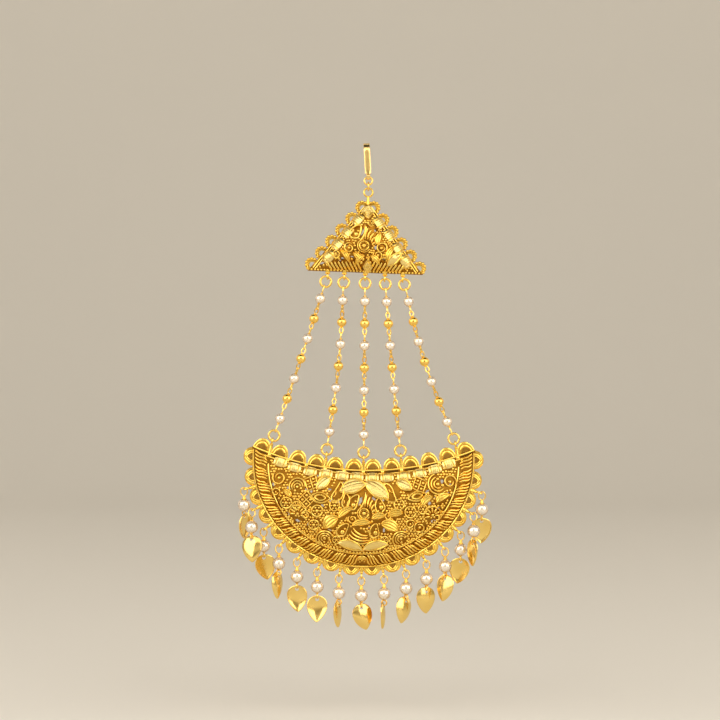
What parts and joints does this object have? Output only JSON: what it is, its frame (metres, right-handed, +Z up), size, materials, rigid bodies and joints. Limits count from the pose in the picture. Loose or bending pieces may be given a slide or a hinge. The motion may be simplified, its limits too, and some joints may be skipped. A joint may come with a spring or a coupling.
{
  "type": "jhoomar",
  "caption": "Hanging head ornament: a pierced triangular plaque and a pierced crescent plaque joined by bead strings, with pearl and leaf drops along the rim.",
  "frame": {"origin": "the point that it hangs from, under the top of the hook's bend", "axes": "+Z up, towards where it hangs; the ornament's face looks along -Y; +X to the viewer's right"},
  "size_m": [0.0737, 0.0123, 0.1415],
  "materials": {
    "gold_plate": "polished cast, gold-plated",
    "gold_leaf": "polished stamped sheet, gold-plated",
    "bead_string": "polished gold-plated beads and wire, with imitation pearls",
    "pearl": "pearlescent"
  },
  "bodies": {
    "hook": {"hook_strip": "gold_plate"},
    "pendant": {"hook_ring": "gold_plate", "plaque_link": "gold_plate", "triangle_plaque": "gold_plate", "crescent_plaque": "gold_plate", "bead_string_1": "bead_string", "bead_string_2": "bead_string", "bead_string_3": "bead_string", "bead_string_4": "bead_string", "bead_string_5": "bead_string", "drop_pearl_01": "pearl", "drop_pearl_02": "pearl", "drop_pearl_03": "pearl", "drop_pearl_04": "pearl", "drop_pearl_05": "pearl", "drop_pearl_06": "pearl", "drop_pearl_07": "pearl", "drop_pearl_08": "pearl", "drop_pearl_09": "pearl", "drop_pearl_10": "pearl", "drop_pearl_11": "pearl", "drop_pearl_12": "pearl", "drop_pearl_13": "pearl", "drop_pearl_14": "pearl", "drop_pearl_15": "pearl", "drop_leaf_01": "gold_leaf", "drop_leaf_02": "gold_leaf", "drop_leaf_03": "gold_leaf", "drop_leaf_04": "gold_leaf", "drop_leaf_05": "gold_leaf", "drop_leaf_06": "gold_leaf", "drop_leaf_07": "gold_leaf", "drop_leaf_08": "gold_leaf", "drop_leaf_09": "gold_leaf", "drop_leaf_10": "gold_leaf", "drop_leaf_11": "gold_leaf", "drop_leaf_12": "gold_leaf", "drop_leaf_13": "gold_leaf", "drop_leaf_14": "gold_leaf", "drop_leaf_15": "gold_leaf"}
  },
  "joints": [
    {"name": "pendant_swing", "type": "hinge", "parent": "hook", "child": "pendant", "pos_m": [0.00053, -0.00255, -0.00949], "axis": [1, 0, 0], "range_deg": [-60, 60]}
  ]
}
